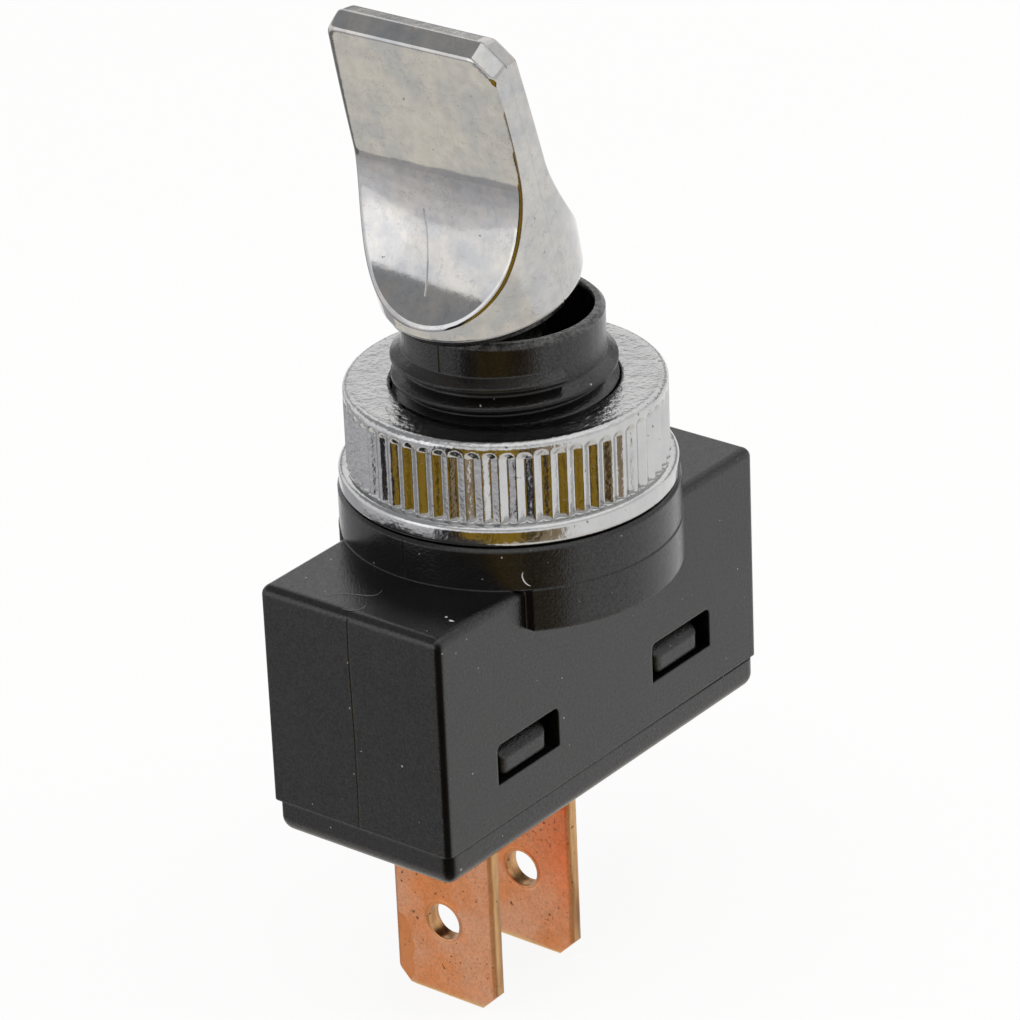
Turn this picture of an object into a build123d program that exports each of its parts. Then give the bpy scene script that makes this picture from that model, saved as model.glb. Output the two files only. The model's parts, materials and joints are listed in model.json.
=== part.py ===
from build123d import *
import math
import os

os.makedirs("parts", exist_ok=True)

# Panel toggle switch with a paddle lever. Millimetres, +Z along the bushing towards the lever.
# The origin lies on the bushing's axis, on the collar's top, where the panel's back face seats.
# The long side of the body runs along X and the lever swings towards -X and +X.

# sizes that drive the rest
blade_width = 6.35
blade_thick = 0.8
blade_tip_z = -26.5
blade_hole_r = 0.98
blade_hole_up = 4.4

body_length = 25.6
body_width = 11.0
wall = 1.3
body_top_z = -2.2
seam_z = -13.95
bottom_z = -15.8
roof_z = -3.6

collar_step = 2.89
collar_lip_z = -4.4
collar_lip_half = 6.05

thread_r = 5.56
thread_depth = 0.56
thread_pitch = 1.0
thread_low_z = 0.39
thread_turns = 6.7
bushing_top_z = 9.1
mouth_wall = 0.5
guide_half = 3.15
guide_top_z = 7.2
pocket_half = 4.95
pocket_top_z = 0.3

pivot_z = 5.4
lean = 15.5
pin_r = 0.8
pin_half = 4.35

fulcrum_z = -9.4
rock = 8.0
strip_thick = 0.8
strip_width = 5.0
leg_reach = 3.6
rivet_r = 0.7
tail_r = 1.0
tail_height = 0.3
plunger_r = 1.5
plunger_reach = 12.02

# clearances
running = 0.05
slide_gap = 0.06
seam_gap = 0.09
slot_gap = 0.05
face_gap = 0.02
tail_gap = 0.15

# sizes that follow
inner_length = body_length - 2 * wall - 0.2
inner_width = body_width - 2 * wall
inner_half = inner_length / 2
blade_hole_z = blade_tip_z + blade_hole_up
collar_r = thread_r + collar_step
thread_root_r = thread_r - thread_depth
mouth_r = thread_root_r - mouth_wall
load_x = -body_length / 4
leg_end_x = load_x - leg_reach
fixed_contact_x = load_x - leg_reach / 2
moving_contact_x = fixed_contact_x + 0.4
rocker_half = 1.2 - moving_contact_x
post_x = rocker_half - 1.0
stem_bore_r = plunger_r + slide_gap
pin_slot_half = pin_half + 2 * running
nut_bore_r = thread_r + slide_gap

# where the swinging groups stand in the photo: lever towards -X, rocker's +X end down
lever_rest = Location((0, 0, pivot_z), (0, -lean, 0))
rocker_rest = Location((0, 0, fulcrum_z), (0, rock, 0))

# the snap windows, two in each long wall
window_x = body_length / 4 - 0.1
window_width = 4.9
window_low_z = -11.75
window_high_z = -9.6
window_z = (window_low_z + window_high_z) / 2
tab_width = 3.6


def place(builder, name, where=None):
    """Puts a finished piece where it stands at rest, names it and saves it."""
    solid = builder.part if where is None else builder.part.moved(where)
    solid.label = name
    export_step(solid, "parts/" + name + ".step")


# THREAD of the bushing: one ridge with a flat crest, swept along a helix
crest_half = 0.08
root_half = 0.44
with BuildLine() as thread_path:
    Helix(
        pitch=thread_pitch,
        height=thread_turns * thread_pitch,
        radius=thread_root_r,
        center=(0, 0, thread_low_z),
    )
helix = thread_path.edges()[0]

with BuildPart() as thread:
    with BuildSketch(Plane(origin=helix @ 0, x_dir=(1, 0, 0), z_dir=helix % 0)):
        with BuildLine():
            Polyline(
                (-0.12, -root_half),
                (-0.12, root_half),
                (0, root_half),
                (thread_depth, crest_half),
                (thread_depth, -crest_half),
                (0, -root_half),
                close=True,
            )
        make_face()
    sweep(path=helix, is_frenet=True)

# HOUSING: one moulding with the box, the round collar and the threaded bushing
with BuildPart() as housing:
    with BuildSketch(Plane.XY.offset(seam_z)):
        Rectangle(body_length, body_width)
    extrude(amount=body_top_z - seam_z)
    fillet(housing.edges().filter_by(Axis.Z), radius=0.35)
    fillet(housing.faces().sort_by(Axis.Z)[-1].edges(), radius=0.5)

    # the collar's full disc above the box, and the narrower lips over the two long walls
    with BuildSketch(Plane.XY.offset(body_top_z)):
        Circle(collar_r)
    extrude(amount=-body_top_z)
    with BuildSketch(Plane.XY.offset(collar_lip_z)):
        Circle(collar_r + 0.05)
        Rectangle(2 * collar_lip_half, 4 * collar_r, mode=Mode.INTERSECT)
    extrude(amount=body_top_z - collar_lip_z)
    top_rim = housing.faces().filter_by(Axis.Z).filter_by(lambda f: abs(f.center().Z) < 0.01)
    chamfer(top_rim.edges().filter_by(GeomType.CIRCLE), length=0.15)

    # the bushing: thread core, and the plain mouth with its eased rim
    with BuildSketch(Plane.YZ):
        with BuildLine():
            Polyline(
                (0, body_top_z),
                (thread_root_r, body_top_z),
                (thread_root_r, bushing_top_z - 0.2),
                (thread_root_r - 0.2, bushing_top_z),
                (0, bushing_top_z),
                close=True,
            )
        make_face()
    revolve(axis=Axis.Z)
    add(thread.part)

    # the hollow inside the box, open at the bottom
    with BuildSketch(Plane.XY.offset(seam_z)):
        RectangleRounded(inner_length, inner_width, 0.5)
    extrude(amount=roof_z - seam_z, mode=Mode.SUBTRACT)

    # the way for the lever: pocket with end stops, flat-sided guide and round mouth
    with BuildSketch(Plane.XY.offset(roof_z)):
        Rectangle(2 * pocket_half, 2 * guide_half)
    extrude(amount=pocket_top_z - roof_z, mode=Mode.SUBTRACT)
    with BuildSketch(Plane.XY):
        Circle(mouth_r)
        Rectangle(4 * mouth_r, 2 * guide_half, mode=Mode.INTERSECT)
    extrude(amount=guide_top_z, mode=Mode.SUBTRACT)
    with BuildSketch(Plane.XY.offset(guide_top_z)):
        Circle(mouth_r)
    extrude(amount=bushing_top_z - guide_top_z, mode=Mode.SUBTRACT)

    # slots that the pivot pin rises in; their round tops are its bearings
    with BuildSketch(Plane.XZ):
        with Locations((0, (pivot_z + roof_z) / 2)):
            Rectangle(2 * (pin_r + running), pivot_z - roof_z)
        with Locations((0, pivot_z)):
            Circle(pin_r + running)
    extrude(amount=pin_slot_half, both=True, mode=Mode.SUBTRACT)

    # windows for the base's snap tabs, with rounded top corners
    with BuildSketch(Plane.XZ) as windows:
        with Locations((-window_x, window_z), (window_x, window_z)):
            Rectangle(window_width, window_high_z - window_low_z)
        fillet(windows.vertices().group_by(Axis.Y)[-1], radius=0.35)
    extrude(amount=body_width, both=True, mode=Mode.SUBTRACT)

place(housing, "housing")

# SNAP ARMS: the profile of a pair of spring arms with wedges that catch in the windows
plug_top_z = -12.6
tab_low_z = window_low_z + 0.2
tab_face = body_width / 2 - 0.22
arm_out = inner_width / 2 - 0.08
arm_in = arm_out - 0.7
arm_top_z = -9.2

with BuildPart() as arms:
    with BuildSketch(Plane.YZ):
        with BuildLine():
            Polyline(
                (arm_in, plug_top_z - 0.5),
                (arm_in, arm_top_z),
                (arm_out - 0.27, arm_top_z),
                (arm_out, arm_top_z - 0.5),
                (tab_face, tab_low_z + 0.83),
                (tab_face, tab_low_z),
                (arm_out, tab_low_z),
                (arm_out, plug_top_z - 0.5),
                close=True,
            )
        make_face()
        mirror(about=Plane.YZ)
    extrude(amount=tab_width / 2, both=True)
    with BuildSketch(Plane.XY.offset(plug_top_z - 1)):
        RectangleRounded(tab_width, 2 * tab_face, 0.4)
    extrude(amount=6, mode=Mode.INTERSECT)

# BASE: closes the housing from below and carries the terminals
base_inset = 0.1
base_shift = 0.08
post_r = 0.7
core_depth = 1.6
core_width = inner_width - 2.6
block_width = strip_width - 0.2
block_end_x = leg_end_x - 0.32
block_in_x = load_x - blade_thick / 2 - 0.12
post_top_z = fulcrum_z + 0.26
leg_low_z = -10.48

with BuildPart() as base:
    with BuildSketch(Plane.XY.offset(bottom_z)):
        with Locations((base_shift, 0)):
            RectangleRounded(body_length - 2 * base_inset, body_width - 2 * base_inset, 0.6)
    extrude(amount=seam_z - seam_gap - bottom_z)
    fillet(base.faces().sort_by(Axis.Z)[0].edges(), radius=0.8)

    # the plug inside the housing, cored out where nothing stands on it
    with BuildSketch(Plane.XY.offset(seam_z - seam_gap - 0.1)):
        RectangleRounded(inner_length - 2 * slot_gap, inner_width - 2 * slot_gap, 0.45)
    extrude(amount=plug_top_z - seam_z + seam_gap + 0.1)
    with BuildSketch(Plane.XY.offset(plug_top_z)):
        with Locations((load_x / 2, 0)):
            Rectangle(-load_x - 2 * core_depth, core_width)
        with Locations((post_x / 2, 0)):
            Rectangle(post_x - 2 * core_depth, core_width)
    extrude(amount=-core_depth, mode=Mode.SUBTRACT)

    # block under the load terminal's bent leg, and the post that stops the rocker's other end
    with BuildSketch(Plane.XY.offset(plug_top_z)):
        with Locations(((block_end_x + block_in_x) / 2, 0)):
            Rectangle(block_in_x - block_end_x, block_width)
    extrude(amount=leg_low_z - plug_top_z)
    with BuildSketch(Plane.XZ):
        with Locations((post_x, (post_top_z + plug_top_z) / 2)):
            Rectangle(2 * post_r, post_top_z - plug_top_z)
        with Locations((post_x, post_top_z)):
            Circle(post_r)
    extrude(amount=block_width / 2, both=True)

    with Locations((-window_x, 0, 0), (window_x, 0, 0)):
        add(arms.part)

    # slots for the two blades, and the hole for the rivet's tail
    with BuildSketch(Plane.XY.offset(bottom_z)):
        with Locations((load_x, 0), (0, 0)):
            Rectangle(blade_thick + 2 * slot_gap, blade_width + 2 * slot_gap)
    extrude(amount=plug_top_z - bottom_z, mode=Mode.SUBTRACT)
    with BuildSketch(Plane.XY.offset(leg_low_z)):
        with Locations((fixed_contact_x, 0)):
            Circle(tail_r + tail_gap)
    extrude(amount=-(tail_height + tail_gap), mode=Mode.SUBTRACT)

place(base, "base")

# TERMINALS: quarter-inch blades with chamfered tips and one round hole each
tip_cut = 1.05
edge_round = 0.3
tip_bevel = 0.18
blade_half = blade_width / 2


def blade_outline(top_z, top_half):
    """Draws one blade from its tip up to the floor, then the narrower upright above."""
    Polyline(
        (-blade_half + tip_cut, blade_tip_z),
        (blade_half - tip_cut, blade_tip_z),
        (blade_half, blade_tip_z + tip_cut),
        (blade_half, plug_top_z),
        (top_half, plug_top_z),
        (top_half, top_z),
        (-top_half, top_z),
        (-top_half, plug_top_z),
        (-blade_half, plug_top_z),
        (-blade_half, blade_tip_z + tip_cut),
        close=True,
    )


with BuildPart() as load_terminal:
    leg_top_z = leg_low_z + blade_thick
    with BuildSketch(Plane.YZ.offset(load_x)):
        with BuildLine():
            blade_outline(leg_top_z, strip_width / 2)
        make_face()
    extrude(amount=blade_thick / 2, both=True)
    # the leg bent over the base's block, which carries the fixed contact
    with BuildSketch(Plane.XZ) as leg:
        with BuildLine():
            Polyline(
                (load_x + blade_thick / 2, leg_low_z - 1.2),
                (load_x + blade_thick / 2, leg_top_z),
                (leg_end_x, leg_top_z),
                (leg_end_x, leg_low_z),
                (load_x - blade_thick / 2, leg_low_z),
                (load_x - blade_thick / 2, leg_low_z - 1.2),
                close=True,
            )
        make_face()
    extrude(amount=strip_width / 2, both=True)
    across = load_terminal.edges().filter_by(Axis.Y).group_by(Axis.Z)[-1]
    fillet(across.sort_by(Axis.X)[-1], radius=0.7)
    with BuildSketch(Plane.XY.offset(leg_low_z)):
        with Locations((fixed_contact_x, 0)):
            Circle(rivet_r)
    extrude(amount=blade_thick, mode=Mode.SUBTRACT)
    with BuildSketch(Plane.YZ.offset(load_x)):
        with Locations((0, blade_hole_z)):
            Circle(blade_hole_r)
    extrude(amount=blade_thick, both=True, mode=Mode.SUBTRACT)
    upright = load_terminal.edges().filter_by(Axis.Z)
    fillet(upright.filter_by(lambda e: e.center().Z < bottom_z), radius=edge_round)
    chamfer(load_terminal.faces().sort_by(Axis.Z)[0].edges().filter_by(Axis.Y), length=tip_bevel)

place(load_terminal, "load_terminal")

ear_width = 0.9
ear_y = strip_width / 2 - 0.05
ear_rise = 1.8
shoulder_width = inner_width - 1.2
shoulder_rise = 1.0
knife_r = blade_thick / 2
with BuildPart() as common_terminal:
    with BuildSketch(Plane.YZ) as outline:
        with BuildLine():
            blade_outline(fulcrum_z, ear_y + ear_width / 2)
        make_face()
        # shoulders that stand on the base's plug
        with Locations((0, plug_top_z + shoulder_rise / 2)):
            Rectangle(shoulder_width, shoulder_rise)
        # two ears that keep the rocker in place
        with Locations((-ear_y, fulcrum_z + ear_rise / 2), (ear_y, fulcrum_z + ear_rise / 2)):
            Rectangle(ear_width, ear_rise)
    extrude(amount=blade_thick / 2, both=True)
    # round-topped knife edge between the ears
    with BuildSketch(Plane.XZ):
        with Locations((0, fulcrum_z)):
            Circle(knife_r)
    extrude(amount=ear_y, both=True)
    with BuildSketch(Plane.YZ):
        with Locations((0, blade_hole_z)):
            Circle(blade_hole_r)
    extrude(amount=blade_thick, both=True, mode=Mode.SUBTRACT)
    upright = common_terminal.edges().filter_by(Axis.Z)
    fillet(upright.filter_by(lambda e: e.center().Z < bottom_z), radius=edge_round)
    chamfer(common_terminal.faces().sort_by(Axis.Z)[0].edges().filter_by(Axis.Y), length=tip_bevel)

place(common_terminal, "common_terminal")

# FIXED CONTACT: a rivet through the load terminal's leg
head_r = 1.3
head_rise = 0.6
with BuildPart() as fixed_contact:
    with BuildSketch(Plane.XZ):
        with BuildLine():
            Polyline(
                (0, -tail_height),
                (tail_r, -tail_height),
                (tail_r, 0),
                (rivet_r, 0),
                (rivet_r, blade_thick),
                (head_r + 0.2, blade_thick),
                (head_r + 0.2, blade_thick + head_rise - 0.1),
                (head_r + 0.1, blade_thick + head_rise),
                (0, blade_thick + head_rise),
                close=True,
            )
        make_face()
    revolve(axis=Axis.Z)

place(fixed_contact, "fixed_contact", Location((fixed_contact_x, 0, leg_low_z)))

# ROCKER: sprung strip whose bowl follows the plunger's tip from one side to the other
arm_top = 2.9
arm_low = arm_top - strip_thick
bowl_low = knife_r + 0.05
tip_path_r = 4.805
bowl_top_r = tip_path_r + plunger_r + 0.03
bowl_low_r = bowl_top_r + strip_thick
bowl_centre = bowl_low + strip_thick + bowl_top_r
top_end = math.sqrt(bowl_top_r**2 - (bowl_centre - arm_top) ** 2)
low_end = math.sqrt(bowl_low_r**2 - (bowl_centre - arm_low) ** 2)

with BuildPart() as rocker:
    with BuildSketch(Plane.XZ) as strip:
        with BuildLine():
            ThreePointArc((-top_end, arm_top), (0, bowl_low + strip_thick), (top_end, arm_top))
            Polyline((top_end, arm_top), (rocker_half, arm_top), (rocker_half, arm_low), (low_end, arm_low))
            ThreePointArc((low_end, arm_low), (0, bowl_low), (-low_end, arm_low))
            Polyline(
                (-low_end, arm_low),
                (-rocker_half, arm_low),
                (-rocker_half, arm_top),
                (-top_end, arm_top),
            )
        make_face()
        shoulders = strip.vertices().filter_by(lambda v: abs(abs(v.X) - top_end) < 0.01)
        fillet(shoulders, radius=strip_thick)
    extrude(amount=strip_width / 2, both=True)
    # side notches for the ears, and the rivet's hole
    with BuildSketch(Plane.XY):
        with Locations((0, strip_width / 2), (0, -strip_width / 2)):
            Rectangle(2 * blade_thick, ear_width + 0.4)
        with Locations((moving_contact_x, 0)):
            Circle(rivet_r)
    extrude(amount=arm_top + strip_thick, mode=Mode.SUBTRACT)
    ends = rocker.edges().filter_by(Axis.Z).filter_by(lambda e: abs(e.center().X) > rocker_half - 0.1)
    fillet(ends, radius=strip_thick)

place(rocker, "rocker", rocker_rest)

# MOVING CONTACT: domed rivet under the rocker's -X arm
dome_r = 5.0
dome_low = arm_low - head_rise
edge_z = dome_low + dome_r - math.sqrt(dome_r**2 - head_r**2)
middle_z = dome_low + dome_r - math.sqrt(dome_r**2 - (head_r / 2) ** 2)
with BuildPart() as moving_contact:
    with BuildSketch(Plane.XZ):
        with BuildLine():
            ThreePointArc((0, dome_low), (head_r / 2, middle_z), (head_r, edge_z))
            Polyline(
                (head_r, edge_z),
                (head_r, arm_low),
                (rivet_r, arm_low),
                (rivet_r, arm_top),
                (tail_r, arm_top),
                (tail_r - 0.1, arm_top + tail_height),
                (0, arm_top + tail_height),
                (0, dome_low),
            )
        make_face()
    revolve(axis=Axis.Z)

place(moving_contact, "moving_contact", rocker_rest * Location((moving_contact_x, 0, 0)))

# PADDLE: drawn upright about the pivot. A crowned round bar is hollowed from both sides by
# round scoops, which leaves a tapering blade above and a U-shaped lip below.
paddle_low = 5.4
paddle_top = 20.1
ridge_top = 20.42
skirt_r = 4.98
belly_r = 5.15
belly_z = 11.0
crown_r = 4.88
crease_z = 13.07
scoop_x = 10.85
scoop_z = 14.75
scoop_r = 9.9
tip_half = 0.95
crease_half = scoop_x - math.sqrt(scoop_r**2 - (scoop_z - crease_z) ** 2)
lip_half = belly_r + 0.45
skirt_drop = 1.0
lip_z = scoop_z - math.sqrt(scoop_r**2 - (scoop_x - lip_half) ** 2)
mid_z = (lip_z + crease_z) / 2
mid_half = scoop_x - math.sqrt(scoop_r**2 - (scoop_z - mid_z) ** 2)
front_low_z = 10.0
front_low_half = belly_r + 0.17
front_top_half = crown_r - 0.08
corner_round = 0.5
gate_cut = 1.0
stem_r = 1.4
stem_top = 9.6

with BuildPart() as paddle:
    with BuildSketch(Plane.XZ):
        with BuildLine():
            Line((0, paddle_low), (skirt_r, paddle_low))
            ThreePointArc((skirt_r, paddle_low), (belly_r, belly_z), (crown_r, ridge_top))
            Line((crown_r, ridge_top), (0, ridge_top))
            Line((0, ridge_top), (0, paddle_low))
        make_face()
    revolve(axis=Axis.Z)
    # the side view: scoops, tapering blade and roof-like top
    with BuildSketch(Plane.XZ) as side:
        with BuildLine():
            Polyline(
                (-lip_half, lip_z),
                (-lip_half, paddle_low - skirt_drop),
                (lip_half, paddle_low - skirt_drop),
                (lip_half, lip_z),
            )
            ThreePointArc((lip_half, lip_z), (mid_half, mid_z), (crease_half, crease_z))
            Polyline(
                (crease_half, crease_z),
                (tip_half, paddle_top),
                (0, ridge_top),
                (-tip_half, paddle_top),
                (-crease_half, crease_z),
            )
            ThreePointArc((-crease_half, crease_z), (-mid_half, mid_z), (-lip_half, lip_z))
        make_face()
    extrude(amount=belly_r + 1, both=True, mode=Mode.INTERSECT)
    # the front view: sides that lean in slightly, one rounded top corner, and the other cut off
    # where the moulding's gate was
    with BuildSketch(Plane.YZ) as front:
        with BuildLine():
            Polyline(
                (-lip_half, paddle_low - skirt_drop),
                (-front_low_half, front_low_z),
                (-front_top_half, ridge_top),
                (front_top_half, ridge_top),
                (front_low_half, front_low_z),
                (lip_half, paddle_low - skirt_drop),
                close=True,
            )
        make_face()
        gate_corner, plain_corner = front.vertices().group_by(Axis.Y)[-1].sort_by(Axis.X)
        chamfer(gate_corner, length=gate_cut)
        fillet(plain_corner, radius=corner_round)
    extrude(amount=belly_r + 1, both=True, mode=Mode.INTERSECT)
    skirt = paddle.faces().sort_by(Axis.Z)[0].outer_wire().edges()
    fillet(skirt, radius=0.3)
    # blind socket for the lever's stem
    with BuildSketch(Plane.XY.offset(paddle_low)):
        Circle(stem_r)
    extrude(amount=stem_top - paddle_low + 0.2, mode=Mode.SUBTRACT)

place(paddle, "paddle", lever_rest)

# LEVER STEM: turned steel, pressed into the paddle; ball round the pivot, tube for the plunger
neck_r = 2.2
tube_r = 2.5
ball_r = 3.0
neck_low_r = 2.55
neck_low = math.sqrt(ball_r**2 - neck_low_r**2)
tube_top = -math.sqrt(ball_r**2 - tube_r**2)
stem_end = -9.0
bore_top = -1.9
with BuildPart() as lever_stem:
    with BuildSketch(Plane.XZ):
        with BuildLine():
            Polyline(
                (0, stem_top),
                (stem_r - 0.2, stem_top),
                (stem_r, stem_top - 0.2),
                (stem_r, paddle_low),
                (neck_r, paddle_low),
                (neck_low_r, neck_low),
            )
            ThreePointArc((neck_low_r, neck_low), (ball_r, 0), (tube_r, tube_top))
            Polyline(
                (tube_r, tube_top),
                (tube_r, stem_end + 0.2),
                (tube_r - 0.2, stem_end),
                (stem_bore_r, stem_end),
                (stem_bore_r, bore_top - 0.5),
                (0, bore_top),
                (0, stem_top),
            )
        make_face()
    revolve(axis=Axis.Z)
    with BuildSketch(Plane.XZ):
        Circle(pin_r)
    extrude(amount=2 * ball_r, both=True, mode=Mode.SUBTRACT)

place(lever_stem, "lever_stem", lever_rest)

# PIVOT PIN: pressed through the stem's ball, turning in the housing's slots
with BuildPart() as pivot_pin:
    with BuildSketch(Plane.XZ):
        Circle(pin_r)
    extrude(amount=pin_half, both=True)
    chamfer(pivot_pin.edges(), length=0.15)

place(pivot_pin, "pivot_pin", lever_rest)

# PLUNGER: round-tipped nylon pin that slides in the stem
plunger_top = -6.2
spigot_r = 0.9
with BuildPart() as plunger:
    with BuildSketch(Plane.XZ):
        with BuildLine():
            Polyline(
                (0, plunger_top + 0.7),
                (spigot_r - 0.15, plunger_top + 0.7),
                (spigot_r, plunger_top + 0.5),
                (spigot_r, plunger_top),
                (plunger_r, plunger_top),
                (plunger_r, -plunger_reach),
            )
            ThreePointArc(
                (plunger_r, -plunger_reach),
                (plunger_r * math.sqrt(0.5), -plunger_reach - plunger_r * math.sqrt(0.5)),
                (0, -plunger_reach - plunger_r),
            )
            Line((0, -plunger_reach - plunger_r), (0, plunger_top + 0.7))
        make_face()
    revolve(axis=Axis.Z)

place(plunger, "plunger", lever_rest)

# PLUNGER SPRING: round wire, between the plunger's shoulder and the bore's end
wire_r = 0.17
coil_r = 1.2
coil_turns = 6.5
spring_low = plunger_top + wire_r
spring_length = bore_top - 0.42 - 2 * wire_r - plunger_top
with BuildPart() as plunger_spring:
    with BuildLine() as coil:
        Helix(
            pitch=spring_length / coil_turns,
            height=spring_length,
            radius=coil_r,
            center=(0, 0, spring_low),
        )
    with BuildSketch(Plane(origin=coil.line @ 0, x_dir=(1, 0, 0), z_dir=coil.line % 0)):
        Circle(wire_r)
    sweep(path=coil.line, is_frenet=True)

place(plunger_spring, "plunger_spring", lever_rest)

# GROOVE of the dress nut's knurl: V-shaped with round ends, as the tool that cuts it
knurl_count = 60
knurl_phase = 2.0
flange_r = collar_r - 0.09
knurl_r = flange_r - 0.41
flange_top = 1.12
nut_top = 5.3
groove_width = 0.78
groove_depth = 0.2
groove_lean = 60
groove_low = flange_top + 0.12
groove_high = nut_top - 0.38

with BuildPart() as groove:
    with BuildSketch(Plane(origin=(knurl_r, 0, 0), x_dir=(0, 0, 1), z_dir=(1, 0, 0))):
        with Locations(((groove_low + groove_high) / 2, 0)):
            SlotOverall(groove_high - groove_low, groove_width)
    extrude(amount=-groove_depth, taper=groove_lean)

# DRESS NUT: flange and knurled ring in one piece
with BuildPart() as dress_nut:
    with BuildSketch(Plane.XZ):
        with BuildLine():
            Polyline(
                (nut_bore_r, face_gap),
                (flange_r - 0.25, face_gap),
                (flange_r, 0.3),
                (flange_r, flange_top - 0.35),
                (flange_r - 0.12, flange_top - 0.1),
                (knurl_r - 0.1, flange_top),
                (knurl_r, flange_top + 0.1),
                (knurl_r, nut_top - 0.3),
                (knurl_r - 0.45, nut_top),
                (nut_bore_r + 0.25, nut_top),
                (nut_bore_r, nut_top - 0.25),
                close=True,
            )
        make_face()
    revolve(axis=Axis.Z)
    with Locations(Location((0, 0, 0), (0, 0, knurl_phase))):
        with PolarLocations(0, knurl_count):
            add(groove.part, mode=Mode.SUBTRACT)

place(dress_nut, "dress_nut")
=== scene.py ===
import json
import math
import bpy
import numpy as np
from mathutils import Matrix, Vector


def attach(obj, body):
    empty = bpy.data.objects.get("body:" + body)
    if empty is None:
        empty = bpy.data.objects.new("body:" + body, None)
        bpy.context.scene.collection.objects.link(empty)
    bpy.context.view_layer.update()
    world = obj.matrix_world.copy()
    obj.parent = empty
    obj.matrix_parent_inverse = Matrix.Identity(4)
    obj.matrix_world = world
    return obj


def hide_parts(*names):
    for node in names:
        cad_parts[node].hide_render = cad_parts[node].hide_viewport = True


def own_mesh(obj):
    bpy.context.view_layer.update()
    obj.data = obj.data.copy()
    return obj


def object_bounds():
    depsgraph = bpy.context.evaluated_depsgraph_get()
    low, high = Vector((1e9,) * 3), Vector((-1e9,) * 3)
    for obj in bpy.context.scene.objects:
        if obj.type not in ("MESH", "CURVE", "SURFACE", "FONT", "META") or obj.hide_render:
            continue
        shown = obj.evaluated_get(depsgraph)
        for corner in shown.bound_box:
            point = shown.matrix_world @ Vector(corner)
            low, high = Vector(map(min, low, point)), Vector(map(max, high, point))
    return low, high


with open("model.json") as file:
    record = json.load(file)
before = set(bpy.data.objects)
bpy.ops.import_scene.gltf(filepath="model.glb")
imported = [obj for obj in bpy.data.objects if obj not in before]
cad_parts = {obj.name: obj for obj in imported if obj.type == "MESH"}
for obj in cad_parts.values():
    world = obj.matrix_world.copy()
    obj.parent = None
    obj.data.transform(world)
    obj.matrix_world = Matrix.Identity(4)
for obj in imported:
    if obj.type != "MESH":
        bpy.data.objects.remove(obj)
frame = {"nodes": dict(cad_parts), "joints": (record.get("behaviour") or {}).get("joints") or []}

# Panel toggle switch. Lengths below are millimetres unless a name says otherwise; MM turns
# them into Blender's metres. The lever's own pieces are drawn upright about the pivot.
MM = 0.001
cad_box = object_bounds()
joint_of = {joint["name"]: joint for joint in frame["joints"]}

PIVOT_Z = joint_of["lever_tilt"]["pos_m"][2] / MM
LEAN = 15.5
LEVER = Matrix.Translation((0, 0, PIVOT_Z)) @ Matrix.Rotation(math.radians(-LEAN), 4, "Y")
FLOOR_Z = cad_box[0][2] / MM

# sizes of the part that the materials and the pieces below follow
NUT_TOP = 5.3
BUSHING_TOP = 9.1
TOP_FACE_Z = -2.2
SEAM_Z = -13.95
CORNER_X = 12.0
BLADE_HALF = 3.175
BLADE_HOLE_Z = -22.1
BLADE_TIP_Z = -26.5

# CAMERA: found from the photograph's edges, for a square image
AZIMUTH = -51.37
ELEVATION = 25.99
ROLL = -2.49
DISTANCE = 256.48
LENS = 184.7
SENSOR = 36
CLIP_START_M = 0.01
AIM_RIGHT = 0.03
AIM_UP = -1.79


def camera_axes():
    """Right, up and back of the photograph's camera as unit vectors."""
    a, e, r = (math.radians(v) for v in (AZIMUTH, ELEVATION, ROLL))
    back = Vector((math.sin(a) * math.cos(e), -math.cos(a) * math.cos(e), math.sin(e)))
    level = Vector((math.cos(a), math.sin(a), 0))
    rise = back.cross(level)
    right = level * math.cos(r) + rise * math.sin(r)
    up = rise * math.cos(r) - level * math.sin(r)
    return right, up, back


def add_camera():
    """Adds the photograph's camera, which looks past the origin by two small offsets."""
    right, up, back = camera_axes()
    data = bpy.data.cameras.new("camera")
    data.lens = LENS
    data.sensor_width = SENSOR
    data.clip_start = CLIP_START_M
    camera = bpy.data.objects.new("camera", data)
    place = right * AIM_RIGHT + up * AIM_UP + back * DISTANCE
    turn = Matrix((right, up, back)).transposed().to_4x4()
    camera.matrix_world = Matrix.Translation(place * MM) @ turn
    bpy.context.scene.collection.objects.link(camera)
    bpy.context.scene.camera = camera


add_camera()


# MATERIALS: all of them are made of noise in object coordinates. Scales of noise are per metre,
# so that 1000 gives blots of about a millimetre. Depths and widths are millimetres.


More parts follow.
